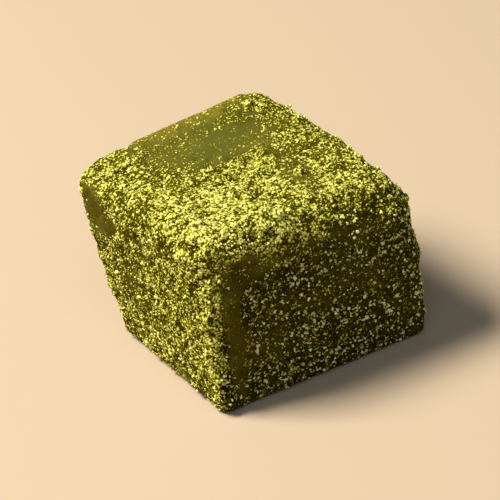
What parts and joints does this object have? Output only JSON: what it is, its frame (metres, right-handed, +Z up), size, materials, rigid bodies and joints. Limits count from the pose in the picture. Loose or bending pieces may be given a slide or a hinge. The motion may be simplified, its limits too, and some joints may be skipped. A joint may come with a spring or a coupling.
{
  "type": "warabi mochi",
  "caption": "Bite-sized hand-cut block of bracken-starch jelly, skewed and slightly slumped, rolled in green tea powder and standing on its flat base",
  "frame": {"origin": "Centre of the block's footprint, on the surface it stands on.", "axes": "+Z is up. +X runs along the front face, from the sharp left corner to the sagged right one. +Y points from the front face to the back."},
  "size_m": [0.0306, 0.03, 0.0243],
  "materials": {
    "matcha_powder": "dry green tea powder over damp, translucent dark olive jelly"
  },
  "bodies": {
    "root": {"warabi_mochi": "matcha_powder"}
  },
  "joints": []
}
